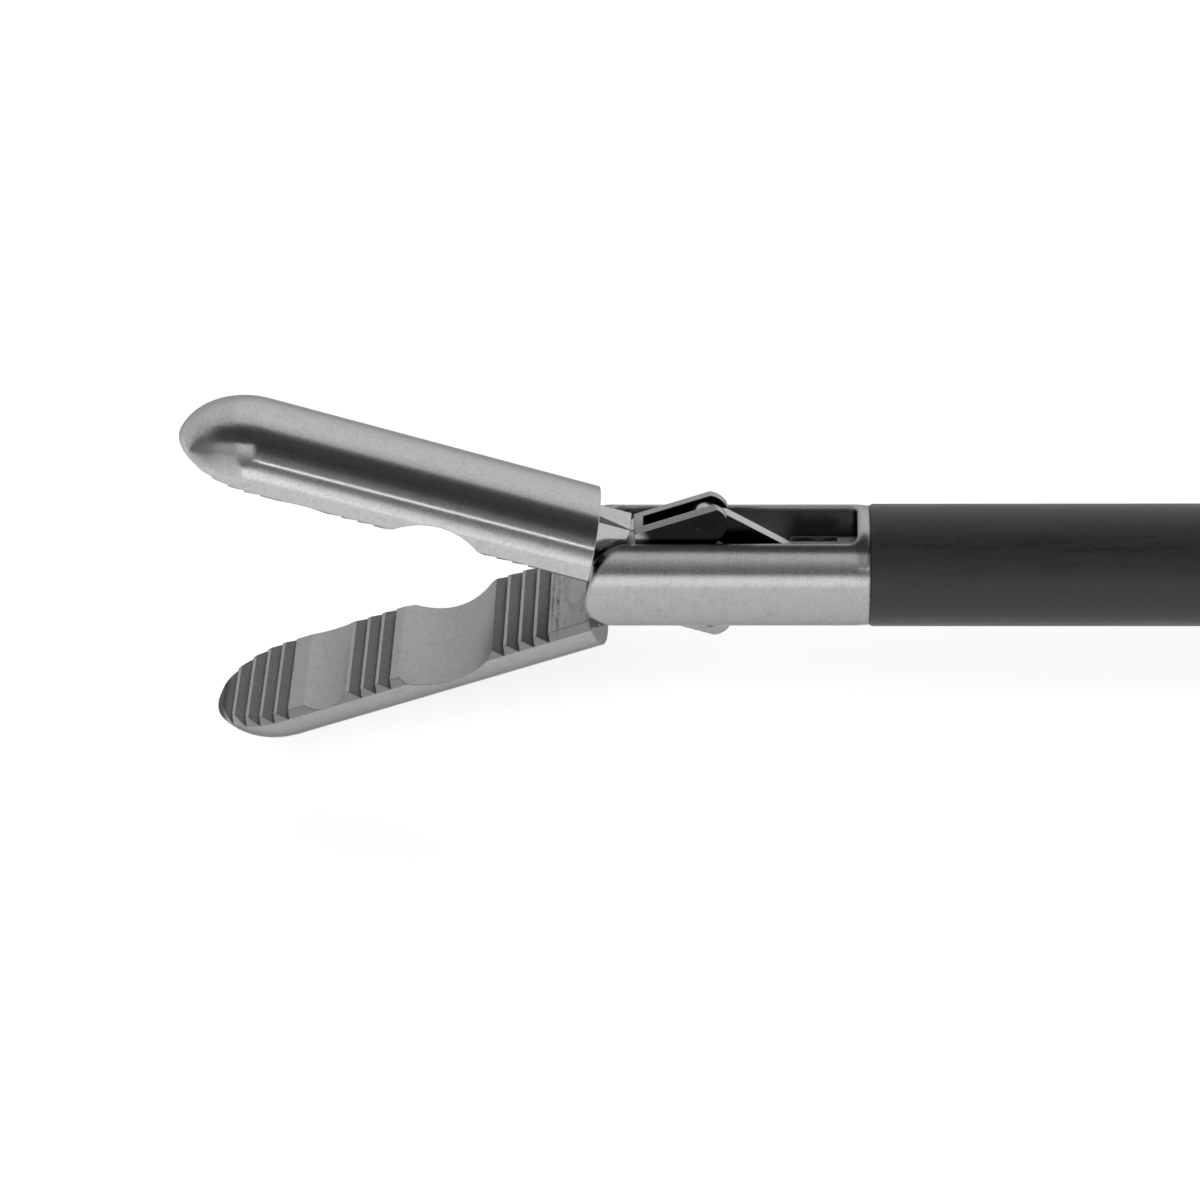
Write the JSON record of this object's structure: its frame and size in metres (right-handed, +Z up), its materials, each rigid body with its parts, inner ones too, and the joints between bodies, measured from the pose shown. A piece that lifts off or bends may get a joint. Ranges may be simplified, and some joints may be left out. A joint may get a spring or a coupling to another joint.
{
  "type": "laparoscopic grasper",
  "caption": "Slim double-action grasping instrument: toothed jaws, slotted clevis, black insulated shaft, turning knob and ring handle with ratchet trigger.",
  "frame": {"origin": "on the shaft axis at the front end of the black insulation", "axes": "+X along the shaft towards the handle, jaws swing in the XZ plane, +Z up, rings towards -Y"},
  "size_m": [0.4181, 0.1167, 0.022],
  "materials": {
    "jaw_steel": "bead-blasted stainless steel with a soft satin sheen",
    "clevis_steel": "fine turned stainless steel",
    "pin_steel": "ground stainless steel, flush",
    "link_steel": "milled stainless steel",
    "rod_steel": "drawn stainless steel",
    "insulation": "matt black insulating polymer with a fine grain",
    "guide_plastic": "white low-friction plastic",
    "seal_rubber": "dark silicone rubber",
    "hub_metal": "turned stainless steel",
    "knob_plastic": "black moulded plastic",
    "housing_plastic": "black glass-filled plastic, fine spark texture",
    "screw_steel": "stainless socket screw",
    "post_metal": "nickel-plated contact",
    "spring_bronze": "spring bronze",
    "ring_insert": "dark grey silicone ring lining",
    "ratchet_steel": "stamped stainless steel"
  },
  "bodies": {
    "handle": {"housing_left": "housing_plastic", "housing_right": "housing_plastic", "housing_screws": "screw_steel", "electrode_post": "post_metal", "contact_spring": "spring_bronze", "lever_pin": "pin_steel", "finger_loop_insert": "ring_insert", "pawl_pin": "pin_steel", "pawl_spring": "spring_bronze"},
    "shaft": {"clevis": "clevis_steel", "jaw_pivot_pin": "clevis_steel", "shaft_tube": "rod_steel", "insulation_sleeve": "insulation", "rod_guide": "guide_plastic", "rod_seal": "seal_rubber", "shaft_hub": "hub_metal", "hub_o_ring": "seal_rubber", "rotation_knob": "knob_plastic", "knob_lock_ring": "hub_metal"},
    "rod": {"rod_fork": "link_steel", "rod_pin": "pin_steel", "pull_rod": "rod_steel", "ball_end": "rod_steel"},
    "upper_jaw": {"jaw_upper": "jaw_steel", "elbow_pin_lower": "pin_steel"},
    "lower_jaw": {"jaw_lower": "jaw_steel", "elbow_pin_upper": "pin_steel"},
    "upper_link": {"link_upper": "link_steel"},
    "lower_link": {"link_lower": "link_steel"},
    "lever": {"thumb_lever": "housing_plastic", "lever_bushes": "guide_plastic", "thumb_ring_insert": "ring_insert", "ratchet_rack": "ratchet_steel"},
    "trigger": {"ratchet_pawl": "ratchet_steel"}
  },
  "joints": [
    {"name": "shaft_rotation", "type": "hinge", "parent": "handle", "child": "shaft", "pos_m": [0.3238, 0, 0], "axis": [1, 0, 0], "continuous": true},
    {"name": "lever_squeeze", "type": "hinge", "parent": "handle", "child": "lever", "pos_m": [0.3518, -0.006, 0], "axis": [0, 0, -1], "range_deg": [0, 14.19]},
    {"name": "rod_pull", "type": "slide", "parent": "shaft", "child": "rod", "axis": [1, 0, 0], "range_m": [0, 0.00149]},
    {"name": "upper_jaw_hinge", "type": "hinge", "parent": "shaft", "child": "upper_jaw", "pos_m": [-0.00918, 0, 0], "axis": [0, 1, 0], "range_deg": [-19.9, 0]},
    {"name": "lower_jaw_hinge", "type": "hinge", "parent": "shaft", "child": "lower_jaw", "pos_m": [-0.00918, 0, 0], "axis": [0, 1, 0], "range_deg": [0, 21.9]},
    {"name": "upper_link_hinge", "type": "hinge", "parent": "rod", "child": "upper_link", "pos_m": [-0.002, 0, 0], "axis": [0, 1, 0], "range_deg": [-13.24, 0]},
    {"name": "lower_link_hinge", "type": "hinge", "parent": "rod", "child": "lower_link", "pos_m": [-0.002, 0, 0], "axis": [0, 1, 0], "range_deg": [0, 13.24]},
    {"name": "trigger_press", "type": "hinge", "parent": "handle", "child": "trigger", "pos_m": [0.32974, -0.0458, 0], "axis": [0, 0, -1], "range_deg": [0, 10.88], "stiffness_Nm_per_rad": 0.05}
  ],
  "couplings": [
    {"joint": "rod_pull", "follows": "lever_squeeze", "m_per_rad": 0.0059999},
    {"joint": "upper_jaw_hinge", "follows": "lever_squeeze", "ratio": -1.4021},
    {"joint": "lower_jaw_hinge", "follows": "lever_squeeze", "ratio": 1.543},
    {"joint": "upper_link_hinge", "follows": "lever_squeeze", "ratio": -0.93305},
    {"joint": "lower_link_hinge", "follows": "lever_squeeze", "ratio": 0.93305}
  ]
}
